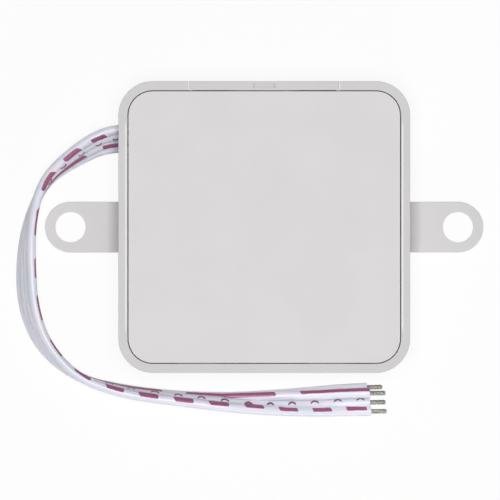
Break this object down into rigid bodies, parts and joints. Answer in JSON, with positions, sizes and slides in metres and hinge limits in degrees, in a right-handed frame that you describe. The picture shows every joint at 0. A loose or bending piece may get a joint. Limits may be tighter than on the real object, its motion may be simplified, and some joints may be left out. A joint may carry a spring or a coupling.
{
  "type": "zigbee motor control module",
  "caption": "Square wall-box radio module with fixing ears, an inset cover held by a latch tongue, a board inside and a flat printed lead with stripped ends.",
  "frame": {"origin": "middle of the flat back of the case, on the surface that it rests on", "axes": "+X along the two fixing ears, +Y up the front towards the latch tongue, +Z out of the front cover"},
  "size_m": [0.0723, 0.0519, 0.015],
  "materials": {
    "case_plastic": "pale grey moulded plastic with a very fine matt texture",
    "cover_plastic": "pale grey moulded plastic, slightly warmer than the case",
    "board_laminate": "green solder mask over glass laminate",
    "radio_laminate": "dark blue solder mask over glass laminate",
    "screw_steel": "zinc plated",
    "connector_plastic": "natural nylon",
    "tinned_metal": "bright tin",
    "tinned_strands": "dull tinned copper strands",
    "lead_sheath": "soft vinyl, white with a cool tint and dark magenta marks",
    "shield_steel": "tin plated sheet",
    "chip_epoxy": "black moulded epoxy",
    "aerial_copper": "gold plated copper track",
    "black_plastic": "black heat-proof plastic",
    "can_aluminium": "bright drawn can",
    "ferrite": "dark grey pressed ferrite",
    "fuse_body": "olive coated polymer",
    "tan_ceramic": "tan fired ceramic",
    "black_ceramic": "black glazed resistor",
    "button_plastic": "red-brown moulded plastic",
    "white_plastic": "white moulded plastic",
    "lens_resin": "clear yellowish resin"
  },
  "bodies": {
    "case": {"board_screws": "screw_steel", "capacitor_base": "black_plastic", "capacitor_can": "can_aluminium", "chip_capacitors": "tan_ceramic", "chip_resistors": "black_ceramic", "chip_terminals": "tinned_metal", "circuit_board": "board_laminate", "clamp_bar": "black_plastic", "clamp_screws": "screw_steel", "converter_chip": "chip_epoxy", "converter_legs": "tinned_metal", "core_tip_a": "tinned_strands", "core_tip_b": "tinned_strands", "core_tip_c": "tinned_strands", "core_tip_d": "tinned_strands", "diode_legs": "tinned_metal", "diodes": "chip_epoxy", "driver_chip": "chip_epoxy", "driver_legs": "tinned_metal", "header_housing": "connector_plastic", "header_pins": "tinned_metal", "inner_leads": "lead_sheath", "input_fuse": "fuse_body", "lamp_lens": "lens_resin", "lead_core_a": "lead_sheath", "lead_core_b": "lead_sheath", "lead_core_c": "lead_sheath", "lead_core_d": "lead_sheath", "plug_housing": "connector_plastic", "plug_terminals": "tinned_metal", "power_inductor": "ferrite", "radio_aerial": "aerial_copper", "radio_board": "radio_laminate", "radio_chip": "chip_epoxy", "radio_crystal": "shield_steel", "radio_shield": "shield_steel", "rear_housing": "case_plastic", "status_lamp": "white_plastic", "switch_base": "black_plastic", "switch_plate": "shield_steel"},
    "cover": {"front_cover": "cover_plastic"},
    "tongue": {"latch_tongue": "case_plastic"},
    "button": {"pairing_button": "button_plastic"}
  },
  "joints": [
    {"name": "cover_swing", "type": "hinge", "parent": "case", "child": "cover", "pos_m": [0, -0.02096, 0.0149], "axis": [1, 0, 0], "range_deg": [0, 50]},
    {"name": "latch_flex", "type": "hinge", "parent": "case", "child": "tongue", "pos_m": [0, 0.0225, 0.002], "axis": [-1, 0, 0], "range_deg": [0, 2.5], "stiffness_Nm_per_rad": 2},
    {"name": "button_press", "type": "slide", "parent": "case", "child": "button", "axis": [0, 0, -1], "range_m": [0, 0.00025], "stiffness_N_per_m": 6400}
  ]
}
